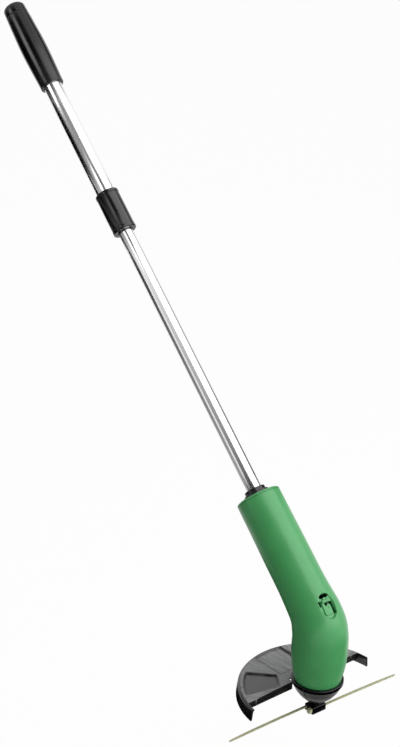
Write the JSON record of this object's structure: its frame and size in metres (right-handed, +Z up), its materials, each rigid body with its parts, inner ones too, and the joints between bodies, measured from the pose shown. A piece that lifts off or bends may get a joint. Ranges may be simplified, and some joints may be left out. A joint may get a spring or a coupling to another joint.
{
  "type": "cordless string trimmer",
  "caption": "Light cordless string trimmer: telescopic pole with grip, angled green motor body, half-round guard and a rotor with two nylon strips.",
  "frame": {"origin": "middle of the hand grip, on the axis of the pole", "axes": "+Z up along the head's spin axis, with the pole running down from the grip towards +Y; +X across the tool, square to the pole; the guard lies on the -Y side of the head and the switch faces +Y"},
  "size_m": [0.2516, 0.6909, 0.7448],
  "materials": {
    "green_moulding": "satin moulded green plastic",
    "black_moulding": "black moulded plastic with a soft sheen",
    "guard_moulding": "dark grey moulded plastic with a fine grain",
    "grip": "black soft sleeve",
    "bright_tube": "bright polished tube",
    "steel": "plain steel",
    "magnet": "dark sintered ferrite",
    "winding": "enamelled copper winding on a core",
    "brass": "plain brass",
    "cell": "plain blue sleeve with no print",
    "white_plastic": "natural white plastic",
    "nylon": "pale yellow translucent nylon",
    "wire_red": "red wire insulation"
  },
  "bodies": {
    "grip_pole": {"upper_tube": "bright_tube", "grip_sleeve": "grip", "grip_end_cap": "black_moulding", "threaded_ferrule": "black_moulding", "locking_collet": "white_plastic"},
    "twist_collar": {"twist_collar": "black_moulding"},
    "battery_cover": {"battery_cover": "green_moulding"},
    "switch_slider": {"switch_slider": "green_moulding"},
    "rotor": {"motor_shaft": "steel", "motor_armature": "winding", "rotor_block": "black_moulding", "rotor_screw": "steel", "cutting_strip_left": "nylon", "cutting_strip_right": "nylon"},
    "head": {"lower_tube": "bright_tube", "slide_plug": "black_moulding", "pole_bush": "black_moulding", "body_top_cap": "green_moulding", "body_rear_shell": "green_moulding", "body_front_shell": "green_moulding", "battery_cradle": "black_moulding", "switch_block": "black_moulding", "motor_can": "steel", "motor_end_bell": "white_plastic", "motor_plate": "steel", "motor_magnet_left": "magnet", "motor_magnet_right": "magnet", "shaft_bearing": "brass", "motor_cup": "black_moulding", "guard": "guard_moulding", "motor_wire_red": "wire_red", "motor_wire_black": "black_moulding", "guard_screw_1": "steel", "guard_screw_2": "steel", "cell_1": "cell", "cell_spring_1": "steel", "shell_screw_1": "steel", "cell_2": "cell", "cell_spring_2": "steel", "shell_screw_2": "steel", "cell_3": "cell", "cell_spring_3": "steel", "shell_screw_3": "steel", "cell_4": "cell", "cell_spring_4": "steel", "shell_screw_4": "steel", "lower_contact_left": "brass", "lower_contact_right": "brass", "upper_contact_left": "brass", "upper_contact_right": "brass"}
  },
  "joints": [
    {"name": "pole_slide", "type": "slide", "parent": "grip_pole", "child": "head", "axis": [0, -0.7254, 0.6884], "range_m": [0, 0.26]},
    {"name": "collar_twist", "type": "hinge", "parent": "grip_pole", "child": "twist_collar", "pos_m": [0, 0.1886, -0.17897], "axis": [0, -0.7254, 0.6884], "range_deg": [0, 90]},
    {"name": "cover_pull", "type": "slide", "parent": "head", "child": "battery_cover", "axis": [0, -0.6884, -0.7254], "range_m": [0, 0.02]},
    {"name": "switch_slide", "type": "slide", "parent": "head", "child": "switch_slider", "axis": [0, -0.6428, 0.766], "range_m": [0, 0.004]},
    {"name": "rotor_spin", "type": "hinge", "parent": "head", "child": "rotor", "pos_m": [0, 0.60351, -0.69201], "axis": [0, 0, 1], "continuous": true}
  ]
}
